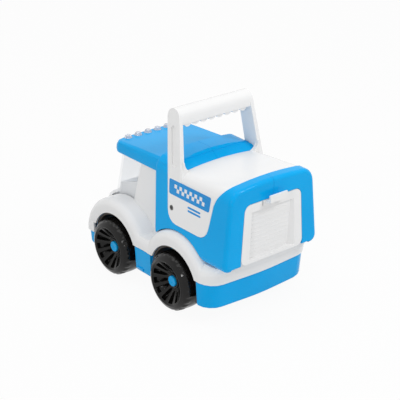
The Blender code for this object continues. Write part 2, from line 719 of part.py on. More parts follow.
def make_cargo_shells(material):
    shell = add_object("cargo_shell", cargo_box(0))
    room = add_object("room", cargo_box(WALL))
    cut(shell, saddle_room(0))
    cut(room, saddle_room(WALL))
    for outline, depth in ((plate_outline(), COVER_WALL), (post_outline(), POST_DEPTH)):
        for pocket in both_sides(lambda: seat_in_side(outline, depth, GAP)):
            cut(shell, pocket)
        for backing in both_sides(lambda: seat_in_side(outline, depth, GAP + WALL)):
            cut(room, backing)
    cut(shell, shape_of(room))
    cut(shell, leaned(rear_prism(door_outline(DOOR_GAP), -FAR, -CARGO_REAR + 4 * WALL)))
    sill_cut = HINGE_X + 3 * STUB_RADIUS
    mouth = DOOR_HALF_WIDTH + DOOR_GAP
    cut(shell, block((-FAR, -mouth, 0), (sill_cut, mouth, DOOR_LOW_Z + DOOR_ROUND)))
    floor_half = SIDE_Y - FOOT_ROUND
    cut(shell, block((-FAR, -floor_half, 0), (FAR, floor_half, LEDGE_Z + GAP + 1.5 * WALL)))
    around = FENDER_RADIUS + FENDER_CLEARANCE
    for side in (1, -1):
        near = (-AXLE_X, side * (FENDER_INNER_Y - 2.4 * FENDER_CLEARANCE), AXLE_Z)
        cut(shell, rod(near, (-AXLE_X, side * FAR, AXLE_Z), around, 48))
    wing = [mouth, mouth + STUB_LENGTH + STUB_WALL]
    knuckle = 2.4 * STUB_RADIUS
    for lug in both_sides(lambda: block((-CARGO_REAR + WALL / 2, wing[0], HINGE_Z - knuckle),
                                        (HINGE_X + knuckle, wing[1], HINGE_Z + knuckle))):
        join(shell, lug)
    for x, y, z in cargo_screw_places():
        high = z + SCREW_LENGTH + WALL + EDGE
        join(shell, rod((x, y, z + GAP), (x, y, high), BOSS_RADIUS, 12))
        wall = math.copysign(SIDE_Y - WALL / 2, y)
        if x < -AXLE_X:
            join(shell, leaned(block((x - WALL / 2, min(y, wall), z + FOOT_ROUND),
                                     (x + WALL / 2, max(y, wall), high - GAP))))
    screw_y = side_y(COVER_SCREW_Z) - COVER_WALL - GAP - WALL / 2
    for side in (1, -1):
        join(shell, rod((COVER_SCREW_X, side * screw_y, COVER_SCREW_Z),
                        (COVER_SCREW_X, side * (screw_y - SCREW_LENGTH), COVER_SCREW_Z), BOSS_RADIUS, 12))
    blind = wing[1] - STUB_WALL / 2
    cut(shell, rod((HINGE_X, -blind, HINGE_Z), (HINGE_X, blind, HINGE_Z), STUB_RADIUS + AXLE_CLEARANCE))
    for x, y, z in cargo_screw_places():
        cut(shell, rod((x, y, z - WALL), (x, y, z + SCREW_LENGTH + WALL), SCREW_HOLE, 10))
    for side in (1, -1):
        cut(shell, cover_screw_hole(side))
    halves = []
    for name, side in (("cargo_shell_left", 1), ("cargo_shell_right", -1)):
        half = bpy.data.objects.new(name, shell.data.copy())
        bpy.context.scene.collection.objects.link(half)
        edges = sorted((side * GAP / 2, -side * FAR))
        cut(half, block((-FAR, edges[0], -FAR), (FAR, edges[1], FAR)))
        half.data.materials.clear()
        half.data.materials.append(material)
        halves.append(half)
    bpy.data.objects.remove(shell)
    return halves


def cover_screw_hole(side):
    outer = side_y(COVER_SCREW_Z)
    return rod((COVER_SCREW_X, side * (outer + WALL), COVER_SCREW_Z),
               (COVER_SCREW_X, side * (outer - COVER_WALL - SCREW_LENGTH), COVER_SCREW_Z), SCREW_HOLE, 10)


def deck_section(x, top):
    """Cross-section of the deck: a crowned top turning down into the two side plates."""
    ring = crowned(top, LEG_Z, 0) + crowned(top, LEG_Z, COVER_WALL)[::-1]
    return [Vector((x, p.x, p.y)) for p in ring]


def post_outline():
    """One handle post seen from the side, with its round head round the grip."""
    foot = LEG_Z - PLATE_LAP
    front = post_front(foot) - POST_STEP
    rear = front - POST_WIDTH - POST_TAPER
    turns = [math.pi * k / 8 for k in range(9)]
    head = [Vector((GRIP_X + GRIP_RADIUS * math.cos(t), GRIP_Z + GRIP_RADIUS * math.sin(t))) for t in turns]
    return [Vector((rear, foot)), Vector((front, foot))] + head


def post_slot():
    """The recess in a post's outer face, round at both ends."""
    foot = LEG_Z + SLOT_RISE
    front = post_front(foot) - POST_STEP - SLOT_INSET
    rear = front - POST_WIDTH - POST_TAPER + 2 * SLOT_INSET
    half = (front - rear) / 2
    turns = [math.pi * k / 8 for k in range(9)]
    low = [Vector((rear + half - half * math.cos(t), foot + half - half * math.sin(t))) for t in turns]
    head = Vector((GRIP_X - POST_SLOPE * SLOT_DROP, GRIP_Z - SLOT_DROP))
    tip = GRIP_RADIUS - SLOT_INSET
    return low + [head + tip * Vector((math.cos(t), math.sin(t))) for t in turns]


def make_cover(material):
    ends = [deck_section(DECK_FRONT - GAP, DECK_FRONT_Z), deck_section(DECK_REAR + GAP, DECK_REAR_Z)]
    cover = add_object("handle_cover", leaned(lofted(ends)), material)
    behind = flare(0) + [Vector((-FAR, FLARE_TOP_Z)), Vector((-FAR, LEG_Z - PLATE_LAP))]
    cut(cover, side_prism(behind, -FAR, FAR))
    face = SIDE_Y - FACE_STEP
    back = SIDE_Y - COVER_WALL + FACE_STEP
    for plate in both_sides(lambda: leaned(side_prism(plate_outline(), back, face))):
        join(cover, plate)
    proud = SIDE_Y + FACE_STEP
    for post in both_sides(lambda: leaned(side_prism(post_outline(), SIDE_Y - POST_DEPTH, proud))):
        join(cover, post)
    radius = GRIP_RADIUS - FACE_STEP
    grip = rounded([
        (GRIP_X + radius, GRIP_Z - GRIP_DROP, 0), (GRIP_X + radius, GRIP_Z + radius, radius),
        (GRIP_X - radius, GRIP_Z + radius, radius), (GRIP_X - radius, GRIP_Z - GRIP_DROP, 0)])
    reach = SIDE_Y - POST_DEPTH / 2
    join(cover, leaned(side_prism(grip, -reach, reach)))
    for k in range(RIBS):
        y = (k - (RIBS - 1) / 2) * RIB_PITCH
        half = RIB_PITCH * RIB_FILL
        root = GRIP_Z - GRIP_DROP + RIB_SINK
        arc = [Vector((y + half * math.cos(t), root - (RIB_DROP + RIB_SINK) * math.sin(t)))
               for t in (math.pi * i / 8 for i in range(9))]
        depth = GRIP_RADIUS - RIB_SETBACK
        join(cover, leaned(rear_prism(arc, GRIP_X - depth, GRIP_X + depth)))
    for recess in both_sides(lambda: leaned(side_prism(post_slot(), SIDE_Y - POST_RECESS, FAR))):
        cut(cover, recess)
    outer = side_y(COVER_SCREW_Z)
    for side in (1, -1):
        cut(cover, cover_screw_hole(side))
        cut(cover, rod((COVER_SCREW_X, side * (outer - HEAD_HEIGHT - GAP), COVER_SCREW_Z),
                       (COVER_SCREW_X, side * FAR, COVER_SCREW_Z), HEAD_RADIUS + GAP))
    return cover


def roof_sections(inset):
    """Rings of the roof from its lower edge to its top, soft at the edges."""
    rise = ROOF_TOP_Z - ROOF_LOW_Z
    steps = ((0.0, 0.12), (0.25, 0.0), (0.6, 0.08), (0.86, 0.36), (1.0, 1.0))
    rings = []
    for up, drawn in steps:
        reach = drawn * ROOF_ROUND + inset
        back = -CAB_BACK + GAP + inset
        half = ROOF_HALF_WIDTH - reach
        front = ROOF_FRONT - reach
        outline = rounded([
            (back, -half, ROOF_REAR_ROUND), (front - ROOF_BOW, -half, ROOF_CORNER),
            (front, 0, 5 * ROOF_HALF_WIDTH),
            (front - ROOF_BOW, half, ROOF_CORNER), (back, half, ROOF_REAR_ROUND)])
        z = ROOF_LOW_Z + up * (rise - inset) - 5 * inset * (up == 0.0)
        climb = ROOF_RISE * up / (ROOF_FRONT + CAB_BACK)
        rings.append([Vector((p.x, p.y, z + climb * (ROOF_FRONT - p.x))) for p in outline])
    return rings


def lamp_places():
    x = ROOF_FRONT - LAMP_SETBACK
    return [(x, (k - (LAMPS - 1) / 2) * LAMP_PITCH) for k in range(LAMPS)]


def make_roof(material):
    roof = add_object("cab_roof", lofted(roof_sections(0)), material)
    cut(roof, lofted(roof_sections(WALL)))
    for x, y in lamp_places():
        cut(roof, rod((x, y, ROOF_LOW_Z + 2 * WALL), (x, y, FAR), LAMP_RADIUS + GAP, 16))
    return roof


def make_lamp_strip(material):
    x = ROOF_FRONT - LAMP_SETBACK
    half = (LAMPS - 1) / 2 * LAMP_PITCH + 1.2 * LAMP_RADIUS
    top = ROOF_TOP_Z - WALL - GAP
    strip = add_object("lamp_strip", block((x - 2 * LAMP_RADIUS, -half, top - CLEAR_WALL),
                                           (x - LAMP_RADIUS / 4, half, top)), material)
    crown = ROOF_TOP_Z + LAMP_HEIGHT
    for place_x, y in lamp_places():
        radius = LAMP_RADIUS
        base = top - CLEAR_WALL / 2
        profile = [(0, base), (radius, base), (radius, crown - radius * 0.7),
                   (radius * 0.75, crown - radius * 0.22), (0, crown)]
        dome = turned(profile, 16)
        upright = Matrix.Rotation(math.pi / 2, 3, "X")
        bmesh.ops.rotate(dome, verts=dome.verts, cent=(0, 0, 0), matrix=upright)
        join(strip, moved(dome, (place_x, y, 0)))
    return strip


def window_ring(z, inset, rear):
    """Plan of the clear moulding at a height, drawn in by an inset, open from its rear end forward."""
    wide = CAB_HALF_WIDTH - WALL - GAP - inset
    lean = (WINDOW_FOOT_X - WINDOW_HEAD_X) / (ROOF_LOW_Z - HOOD_Z)
    front = WINDOW_FOOT_X - max(0.0, lean * (z - HOOD_Z)) - inset
    return plan(rounded([(rear, -wide, 0), (front, -wide, WINDOW_CORNER),
                         (front, wide, WINDOW_CORNER), (rear, wide, 0)]), z)


def make_windows(material):
    """Windscreen and both side windows in one clear moulding, open to the rear."""
    back = PILLAR_HEAD_X - WINDOW_TUCK
    low, high = HOOD_Z - 2 * WALL, ROOF_LOW_Z + WALL
    skin = [window_ring(z, 0.0, back) for z in (low, HOOD_Z, high)]
    windows = add_object("window_insert", lofted(skin), material)
    open_back = back - 2 * CLEAR_WALL
    cut(windows, lofted([window_ring(z, CLEAR_WALL, open_back) for z in (low - WALL, HOOD_Z, high + WALL)]))
    return windows


def make_door(material):
    outer, face = -CARGO_REAR, -CARGO_REAR + DOOR_WALL
    door = add_object("rear_door", leaned(rear_prism(door_outline(0), outer, face)), material)
    top = DOOR_TOP_Z - PANEL_TOP_DROP
    low = DOOR_LOW_Z + PANEL_LOW_RISE

    def dish(x, share, spread, low_z):
        """A ring of the sloping panel: share 0 at the door's face, 1 at the bottom of the recess."""
        corners = []
        low_sunk = share * PANEL_DEPTH
        top_sunk = share * PANEL_TOP_DEPTH
        high_z = top + (spread - top_sunk) / 2
        ends = ((-1, low_z, low_sunk), (1, low_z, low_sunk), (1, high_z, top_sunk), (-1, high_z, top_sunk))
        for side, z, sunk in ends:
            corners.append(Vector((x + sunk, side * (PANEL_HALF_WIDTH + spread - sunk), z)))
        return corners

    join(door, leaned(lofted([dish(face - DOOR_WALL / 2, 0, DOOR_WALL, low - DOOR_WALL),
                              dish(face, 1, DOOR_WALL, low - DOOR_WALL)])))
    cut(door, leaned(lofted([dish(outer - EDGE, 0, EDGE, low), dish(outer, 1, 0, low)])))
    pitch = (top - PANEL_TOP_DEPTH / 2 - low) / SLATS
    for k in range(1, SLATS):
        share = k / SLATS
        z = low + k * pitch
        depth = PANEL_DEPTH + share * (PANEL_TOP_DEPTH - PANEL_DEPTH)
        half = PANEL_HALF_WIDTH - depth - EDGE
        join(door, leaned(block((outer + depth - SLAT_RIDGE, -half, z - SLAT_ROOT / 2),
                                (outer + depth + SLAT_ROOT, half, z + SLAT_ROOT / 2))))
    for side in (1, -1):
        slit = side * TAB_WIDTH / 2 * 1.25
        cut(door, block((-FAR, slit - TAB_SLIT / 2, DOOR_TOP_Z - PANEL_TOP_DROP * 0.6),
                        (FAR, slit + TAB_SLIT / 2, FAR)))
    lip = rounded([(face, DOOR_TOP_Z - LIP_DEPTH + EDGE, 0), (face, DOOR_TOP_Z - FACE_STEP, 0),
                   (outer - GAP, DOOR_TOP_Z - FACE_STEP, 0),
                   (outer - TAB_REACH + DOOR_WALL, DOOR_TOP_Z + TAB_RISE * 0.4, 0),
                   (outer - TAB_REACH + DOOR_WALL, DOOR_TOP_Z + TAB_RISE, 0),
                   (outer - TAB_REACH, DOOR_TOP_Z + TAB_RISE, 0),
                   (outer - TAB_REACH, DOOR_TOP_Z - EDGE, 0), (outer, DOOR_TOP_Z - LIP_DEPTH, 0)])
    join(door, side_prism(lip, -TAB_WIDTH / 2, TAB_WIDTH / 2))
    knuckle = 1.9 * STUB_RADIUS
    edge = side_y(HINGE_Z) / SIDE_Y * DOOR_HALF_WIDTH - LUG_INSET
    for lug in both_sides(lambda: block((face - WALL / 2, edge - LUG_WIDTH, HINGE_Z - knuckle),
                                        (HINGE_X + knuckle, edge, HINGE_Z + knuckle))):
        join(door, lug)
    for side in (1, -1):
        join(door, rod((HINGE_X, side * (edge - LUG_WIDTH / 2), HINGE_Z),
                       (HINGE_X, side * (edge + STUB_LENGTH), HINGE_Z), STUB_RADIUS))
    move_origin(door, (HINGE_X, 0, HINGE_Z))
    return door


def move_origin(piece, place):
    """Puts the origin of a moving piece on its axis."""
    piece.data.transform(Matrix.Translation(-Vector(place)))
    piece.location = place


def make_wheel(name, material):
    """A one-piece wheel about the Y axis, its outer side towards +Y."""
    back, front = -WHEEL_WIDTH, 0.0
    rim, web = DISH_RADIUS, -DISH_DEPTH
    bore = AXLE_RADIUS + AXLE_CLEARANCE
    hub = HUB_RADIUS
    inner = WHEEL_RADIUS - TREAD_WALL
    profile = [
        (bore, back - WHEEL_BOSS), (hub, back - WHEEL_BOSS), (hub, web - WALL), (rim, web - WALL),
        (inner, back + TREAD_FILLET), (inner, back), (WHEEL_RADIUS - EDGE, back),
        (WHEEL_RADIUS, back + 2 * EDGE), (WHEEL_RADIUS, front - TYRE_ROUND),
        (WHEEL_RADIUS - TYRE_ROUND * 0.3, front - TYRE_ROUND * 0.3), (WHEEL_RADIUS - TYRE_ROUND, front),
        (rim + EDGE, front), (rim, front - EDGE), (rim - DISH_TAPER, web), (hub, web),
        (hub, -HUB_SINK), (bore, -HUB_SINK)]
    wheel = add_object(name, turned(profile, 32), material)
    half = SPOKE_WIDTH / 2
    for k in range(SPOKES):
        ends = []
        for r, high in ((hub - EDGE, -HUB_SINK - GAP), (rim - GAP * 2, front - SPOKE_SINK)):
            corners = ((web - WALL / 2, -half), (web - WALL / 2, half), (high, half), (high, -half))
            ends.append([Vector((r, y, z)) for y, z in corners])
        spoke = lofted(ends)
        turn = Matrix.Rotation(math.tau * (k + 0.5) / SPOKES, 3, "Y")
        bmesh.ops.rotate(spoke, verts=spoke.verts, cent=(0, 0, 0), matrix=turn)
        join(wheel, spoke)
    return wheel


def make_cap(name, material):
    """A press-on cap over the end of an axle, its face towards +Y."""
    hole = AXLE_RADIUS + GAP
    top = CAP_GRIP + GAP
    profile = [(hole, GAP), (CAP_RADIUS, GAP), (CAP_RADIUS, CAP_HEIGHT - CAP_EDGE),
               (CAP_RADIUS - CAP_EDGE, CAP_HEIGHT), (0, CAP_HEIGHT), (0, top), (hole, top)]
    return add_object(name, turned(profile, 24), material)


def make_running_gear(tyre, blue, steel):
    pieces = []
    for end, x in (("front", AXLE_X), ("rear", -AXLE_X)):
        reach = HUB_Y + CAP_GRIP
        axle = add_object(f"axle_{end}", rod((0, -reach, 0), (0, reach, 0), AXLE_RADIUS), steel)
        axle.location = (x, 0, AXLE_Z)
        pieces.append(axle)
        for side, turn in (("left", 0.0), ("right", math.pi)):
            sign = 1 if side == "left" else -1
            wheel = make_wheel(f"wheel_{end}_{side}", tyre)
            wheel.location = (x, sign * WHEEL_OUTER_Y, AXLE_Z)
            wheel.rotation_euler = (0, 0, turn)
            cap = make_cap(f"hub_cap_{end}_{side}", blue)
            cap.location = (x, sign * HUB_Y, AXLE_Z)
            cap.rotation_euler = (0, 0, turn)
            pieces += [wheel, cap]
    return pieces


def make_screw(name, material, place, direction):
    """A pan-head screw whose head sits at a place and whose shank points along a direction."""
    direction = Vector(direction)
    screw = add_object(name, rod((0, 0, -HEAD_HEIGHT), (0, 0, 0), HEAD_RADIUS), material)
    join(screw, rod((0, 0, -HEAD_HEIGHT / 2), (0, 0, SCREW_LENGTH), SCREW_RADIUS, 10))
    cross = HEAD_RADIUS * 0.62
    slot = HEAD_RADIUS * 0.16
    for a, b in ((cross, slot), (slot, cross)):
        cut(screw, block((-a, -b, -2 * HEAD_HEIGHT), (a, b, -HEAD_HEIGHT * 0.45)))
    turn = Vector((0, 0, 1)).rotation_difference(direction).to_matrix().to_4x4()
    screw.data.transform(turn)
    screw.location = place
    return screw


def make_screws(steel):
    pieces = []
    for k, (x, y) in enumerate(pan_screw_places()):
        place = (x, y, FLOOR_Z + HEAD_HEIGHT + GAP)
        pieces.append(make_screw(f"pan_screw_{k + 1}", steel, place, (0, 0, 1)))
    for k, (x, y, z) in enumerate(cargo_screw_places()):
        pieces.append(make_screw(f"cargo_screw_{k + 1}", steel, (x, y, z - WALL - GAP), (0, 0, 1)))
    seat = side_y(COVER_SCREW_Z) - HEAD_HEIGHT
    for name, side in (("cover_screw_left", 1), ("cover_screw_right", -1)):
        place = (COVER_SCREW_X, side * seat, COVER_SCREW_Z)
        pieces.append(make_screw(name, steel, place, (0, -side, 0)))
    return pieces


def main():
    clear_scene()
    blue = finish_of("blue_plastic", BLUE, 0.28)
    white = finish_of("white_plastic", WHITE, 0.35)
    tyre = finish_of("black_plastic", BLACK, 0.22)
    steel = finish_of("plated_steel", STEEL, 0.3, metallic=1.0)
    clear = finish_of("clear_plastic", CLEAR, 0.08, transmission=0.9)
    pieces = [make_pan(blue), make_lower_body(white), *make_cargo_shells(blue), make_cover(white),
              make_roof(blue), make_lamp_strip(clear), make_windows(clear), make_door(white)]
    pieces += make_running_gear(tyre, blue, steel)
    pieces += make_screws(steel)
    carrier = bpy.data.objects.new("truck", None)
    bpy.context.scene.collection.objects.link(carrier)
    carrier.location = (MIDDLE_X, 0, 0)
    for piece in pieces:
        piece.parent = carrier
        piece.data.set_sharp_from_angle(angle=math.radians(35))


if __name__ == "__main__":
    main()
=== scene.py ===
# %% [markdown]
# # A toy truck with a carrying handle
# The CAD model gives every piece its place, in metres, and this script dresses it.
# The truck is moulded plastic, so most of the work is on soft edges and on the finish of the skin.

# %% Load the frame
import math

import bmesh
import bpy
from mathutils import Matrix, Vector


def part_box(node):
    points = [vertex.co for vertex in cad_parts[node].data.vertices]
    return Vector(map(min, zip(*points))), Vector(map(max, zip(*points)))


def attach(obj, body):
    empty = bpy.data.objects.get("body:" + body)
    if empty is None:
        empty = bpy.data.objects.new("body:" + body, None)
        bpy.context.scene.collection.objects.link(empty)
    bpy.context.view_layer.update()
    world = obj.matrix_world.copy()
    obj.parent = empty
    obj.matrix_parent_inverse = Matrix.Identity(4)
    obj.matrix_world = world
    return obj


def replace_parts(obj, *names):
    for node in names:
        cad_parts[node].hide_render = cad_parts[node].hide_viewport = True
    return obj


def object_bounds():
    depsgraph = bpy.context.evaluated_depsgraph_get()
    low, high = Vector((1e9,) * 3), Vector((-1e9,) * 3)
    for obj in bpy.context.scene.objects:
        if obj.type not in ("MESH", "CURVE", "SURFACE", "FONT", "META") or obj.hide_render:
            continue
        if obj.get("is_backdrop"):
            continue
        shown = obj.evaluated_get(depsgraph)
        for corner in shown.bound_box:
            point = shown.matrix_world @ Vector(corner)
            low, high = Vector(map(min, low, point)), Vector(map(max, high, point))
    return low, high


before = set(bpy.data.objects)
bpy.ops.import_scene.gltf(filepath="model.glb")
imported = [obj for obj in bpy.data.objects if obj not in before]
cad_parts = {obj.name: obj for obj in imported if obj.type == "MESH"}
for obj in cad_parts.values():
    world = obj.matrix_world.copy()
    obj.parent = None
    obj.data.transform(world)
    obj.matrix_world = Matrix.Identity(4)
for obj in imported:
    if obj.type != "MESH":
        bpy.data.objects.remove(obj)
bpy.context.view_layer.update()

MM = 0.001

# %% [markdown]
# ## Camera
# The photograph was taken from behind and above, with a long lens, so lines hardly converge.
# A direction and a distance describe that better than a loose location does, and the camera's
# rotation follows from the direction.

# %% Camera
AIM = Vector((1.48, 0.0, 99.4)) * MM
RISE, TURN = math.radians(24.22), math.radians(50.69)
DISTANCE, LENS_LENGTH = 1.3624, 103.86
towards = Vector((-math.sin(TURN) * math.cos(RISE), math.cos(TURN) * math.cos(RISE), math.sin(RISE)))
lens = bpy.data.cameras.new("camera")
lens.lens = LENS_LENGTH
camera = bpy.data.objects.new("camera", lens)
camera.location = AIM + towards * DISTANCE
camera.rotation_euler = (-towards).to_track_quat("-Z", "Y").to_euler()
bpy.context.scene.collection.objects.link(camera)
bpy.context.scene.camera = camera
print("camera at", [round(v, 3) for v in camera.location])

# %% [markdown]
# ## Helpers for nodes
# Materials are built from nodes. These two small helpers add a node with its values and make a
# shader node group with named sockets, so that the recipes below stay short.

# %% Node helpers
def add_node(tree, kind, values=None, **settings):
    """A node with its input values and its own settings filled in."""
    node = tree.nodes.new(kind)
    for key, value in settings.items():
        setattr(node, key, value)
    for key, value in (values or {}).items():
        node.inputs[key].default_value = value
    return node


def new_group(name, inputs, outputs):
    """An empty shader node group with float inputs and outputs, and its two end nodes."""
    group = bpy.data.node_groups.new(name, "ShaderNodeTree")
    for socket, value in inputs.items():
        item = group.interface.new_socket(socket, in_out="INPUT", socket_type="NodeSocketFloat")
        item.default_value = value
    for socket in outputs:
        group.interface.new_socket(socket, in_out="OUTPUT", socket_type="NodeSocketFloat")
    return group, group.nodes.new("NodeGroupInput"), group.nodes.new("NodeGroupOutput")


# %% [markdown]
# ## The skin of moulded plastic
# Injection-moulded plastic isn't one flat colour. It has slow clouds where the melt flowed, a fine
# peel from the steel of the mould, and hairline rubs from handling. Three noises at three scales
# give these, and one group holds them so that every finish on the truck shares them.

# %% Moulded skin group
FLOW_SCALE, PEEL_SCALE = 16.0, 700.0
skin, skin_in, skin_out = new_group(
    "moulded_skin", {"Flow Scale": FLOW_SCALE, "Peel Scale": PEEL_SCALE}, ("Flow", "Peel", "Rubs"))
place = add_node(skin, "ShaderNodeTexCoord")
flow = add_node(skin, "ShaderNodeTexNoise", {"Detail": 2.0, "Roughness": 0.45})
peel = add_node(skin, "ShaderNodeTexNoise", {"Detail": 1.5, "Roughness": 0.5})
streaks = add_node(skin, "ShaderNodeMapping", {
    "Rotation": (0.4, 0.2, 0.6), "Scale": (40.0, 420.0, 160.0)})
rubs = add_node(skin, "ShaderNodeTexNoise", {"Scale": 1.0, "Detail": 4.0, "Roughness": 0.6})
hairlines = add_node(skin, "ShaderNodeMapRange", {"From Min": 0.45, "From Max": 0.75})
for node in (flow, peel, streaks):
    skin.links.new(place.outputs["Object"], node.inputs["Vector"])
skin.links.new(streaks.outputs["Vector"], rubs.inputs["Vector"])
skin.links.new(skin_in.outputs["Flow Scale"], flow.inputs["Scale"])
skin.links.new(skin_in.outputs["Peel Scale"], peel.inputs["Scale"])
skin.links.new(rubs.outputs["Fac"], hairlines.inputs["Value"])
skin.links.new(flow.outputs["Fac"], skin_out.inputs["Flow"])
skin.links.new(peel.outputs["Fac"], skin_out.inputs["Peel"])
skin.links.new(hairlines.outputs["Result"], skin_out.inputs["Rubs"])
print("group", skin.name, "with", len(skin.nodes), "nodes")

# %% [markdown]
# ## Plastics
# Each finish mixes two close colours by the flow clouds, lets the rubs dull its shine a little,
# and bumps its surface with the peel. The shader itself stays in the material, and values that are
# the same all over go straight on its sockets. The sides of the truck are strong blue and clean
# white, the wheels are near black, and a warmer dark grey is painted shade for the wells behind
# them.

# %% Recipe for a finish
# A Mix node that mixes colours has its factor, its two colours and its result at these sockets.
MIX_FACTOR, MIX_FIRST, MIX_SECOND, MIX_RESULT = 0, 6, 7, 2
PEEL_STRENGTH, PEEL_HEIGHT = 0.3, 0.006 * MM


def skin_material(name, deep, bright, polished, rubbed, gloss=0.35,
                  flow_scale=FLOW_SCALE, peel_scale=PEEL_SCALE):
    """A material with the moulded skin: a colour between two and a roughness between two."""
    material = bpy.data.materials.new(name)
    material.use_nodes = True
    tree = material.node_tree
    shader = tree.nodes["Principled BSDF"]
    shader.inputs["Specular IOR Level"].default_value = gloss
    body = add_node(tree, "ShaderNodeGroup", node_tree=skin)
    body.inputs["Flow Scale"].default_value = flow_scale
    body.inputs["Peel Scale"].default_value = peel_scale
    tone = add_node(tree, "ShaderNodeMapRange", {"From Min": 0.32, "From Max": 0.68})
    colour = add_node(tree, "ShaderNodeMix", data_type="RGBA")
    colour.inputs[MIX_FIRST].default_value = (*deep, 1.0)
    colour.inputs[MIX_SECOND].default_value = (*bright, 1.0)
    shine = add_node(tree, "ShaderNodeMapRange", {"To Min": polished, "To Max": rubbed})
    bump = add_node(tree, "ShaderNodeBump", {"Strength": PEEL_STRENGTH, "Distance": PEEL_HEIGHT})
    tree.links.new(body.outputs["Flow"], tone.inputs["Value"])
    tree.links.new(tone.outputs["Result"], colour.inputs[MIX_FACTOR])
    tree.links.new(colour.outputs[MIX_RESULT], shader.inputs["Base Color"])
    tree.links.new(body.outputs["Rubs"], shine.inputs["Value"])
    tree.links.new(shine.outputs["Result"], shader.inputs["Roughness"])
    tree.links.new(body.outputs["Peel"], bump.inputs["Height"])
    tree.links.new(bump.outputs["Normal"], shader.inputs["Normal"])
    return material


# %% Plastics
blue_plastic = skin_material(
    "blue_plastic", (0.001, 0.374, 0.805), (0.002, 0.408, 0.860), 0.15, 0.18, gloss=0.12)
white_plastic = skin_material(
    "white_plastic", (0.845, 0.846, 0.848), (0.868, 0.868, 0.866), 0.18, 0.21, gloss=0.14)
black_plastic = skin_material(
    "black_plastic", (0.0050, 0.0047, 0.0045), (0.0085, 0.0080, 0.0075), 0.06, 0.11,
    gloss=0.26, flow_scale=60.0)
# A warm dark grey that is painted shade: it goes on the sheets laid in the wheel wells.
painted_shade_plastic = skin_material(
    "well_liner_plastic", (0.050, 0.042, 0.036), (0.072, 0.062, 0.054), 0.40, 0.50, gloss=0.2)
print("plastics:", blue_plastic.name, white_plastic.name, black_plastic.name, painted_shade_plastic.name)

# %% [markdown]
# ## Clear plastic and lamp lenses
# The cab's window is thin clear plastic. Seen in a pack shot it hardly tints what lies behind, so
# a low alpha with a full gloss shows the inside of the cab, and light still gets in. The small
# roof lamps are cast in a milky grey-blue, thick enough to let a little light through.

# %% Clear finishes
clear_plastic = skin_material(
    "clear_plastic", (0.80, 0.86, 0.93), (0.88, 0.92, 0.96), 0.04, 0.10, gloss=0.5)
clear_plastic.node_tree.nodes["Principled BSDF"].inputs["Alpha"].default_value = 0.12
lens_plastic = skin_material(
    "lamp_lens", (0.74, 0.82, 0.95), (0.97, 0.96, 0.98), 0.04, 0.10, gloss=0.6, flow_scale=260.0)
lens_shader = lens_plastic.node_tree.nodes["Principled BSDF"]
lens_shader.inputs["Transmission Weight"].default_value = 0.40
print("clear:", clear_plastic.name, lens_plastic.name)

# %% [markdown]
# ## Plated steel
# Axles and screws are zinc-plated steel: a metal, grey, with a cloudy shine. Metallic is one value
# all over, and the clouds change only the colour and the roughness. The two screws in the side
# plates get a darker steel, which is painted shade of their cross recesses.

# %% Steel
CLOUD_SCALE, GRAIN_SCALE = 220.0, 1600.0
plated_steel = skin_material("plated_steel", (0.30, 0.30, 0.31), (0.52, 0.52, 0.54), 0.22, 0.45,
                             flow_scale=CLOUD_SCALE, peel_scale=GRAIN_SCALE)
# Darker steel for the side plate screws: painted shade of their cross recesses.
recess_shade_steel = skin_material("recess_shade_steel", (0.10, 0.10, 0.10), (0.22, 0.22, 0.22), 0.30, 0.50,
                           flow_scale=CLOUD_SCALE, peel_scale=GRAIN_SCALE)
for steel in (plated_steel, recess_shade_steel):
    steel.node_tree.nodes["Principled BSDF"].inputs["Metallic"].default_value = 1.0
print("metals:", plated_steel.name, recess_shade_steel.name)

# %% [markdown]
# ## From bmesh to a piece of the truck
# A finished bmesh becomes an object at the origin with its place in its mesh, gets its material
# and rides on the CAD body that carries it.

# %% Piece helper
def new_piece(name, shape, material, body, sharp=30.0):
    """An object from a finished bmesh, smooth but for edges over the sharp angle, on a body."""
    mesh = bpy.data.meshes.new(name)
    shape.to_mesh(mesh)
    shape.free()
    for face in mesh.polygons:
        face.use_smooth = True
    mesh.set_sharp_from_angle(angle=math.radians(sharp))
    mesh.materials.append(material)
    piece = bpy.data.objects.new(name, mesh)
    bpy.context.scene.collection.objects.link(piece)
    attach(piece, body)
    print(name, "has", len(mesh.polygons), "faces")
    return piece


# %% [markdown]
# ## The moulded shells
# The CAD solids have the right shapes, but their edges are knife sharp, and no moulding's are.
# Each shell is a copy of its solid: its loose triangles are merged, flat faces are joined again,
# and every edge with room beside it gets a small round. The copy stands in for its node.

# %% Rounding a copy of a shell
SAME_POINT, TINY_EDGE = 0.002 * MM, 0.02 * MM
FLAT_ANGLE, SHARP_ANGLE = math.radians(0.5), math.radians(35.0)
ROOM = 2.2  # how many widths of the round a face beside it has to offer


def reach(edge):
    """How far the narrower of an edge's two faces runs away from it."""
    start = edge.verts[0].co
    along = (edge.verts[1].co - start).normalized()
    return min(max((v.co - start - along * (v.co - start).dot(along)).length for v in face.verts)
               for face in edge.link_faces)


def softened(node, width, material, body):
    """A copy of a CAD node with its sharp edges rounded, in place of the node."""
    shape = bmesh.new()
    shape.from_mesh(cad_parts[node].data)
    bmesh.ops.remove_doubles(shape, verts=shape.verts, dist=SAME_POINT)
    bmesh.ops.dissolve_limit(shape, angle_limit=FLAT_ANGLE, verts=shape.verts, edges=shape.edges,
                             use_dissolve_boundaries=False, delimit=set())
    bmesh.ops.dissolve_degenerate(shape, dist=TINY_EDGE, edges=shape.edges)
    sharp = [e for e in shape.edges if len(e.link_faces) == 2 and e.calc_face_angle() > SHARP_ANGLE]
    roomy = [e for e in sharp if e.calc_length() > 0 and reach(e) > ROOM * width]
    bmesh.ops.bevel(shape, geom=roomy, offset=width, offset_type="OFFSET", affect="EDGES",
                    segments=2, profile=0.5, material=-1, clamp_overlap=True)
    piece = new_piece(node + "_skin", shape, material, body)
    weighted = piece.modifiers.new("even shading", "WEIGHTED_NORMAL")
    weighted.keep_sharp = True
    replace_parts(piece, node)
    return piece


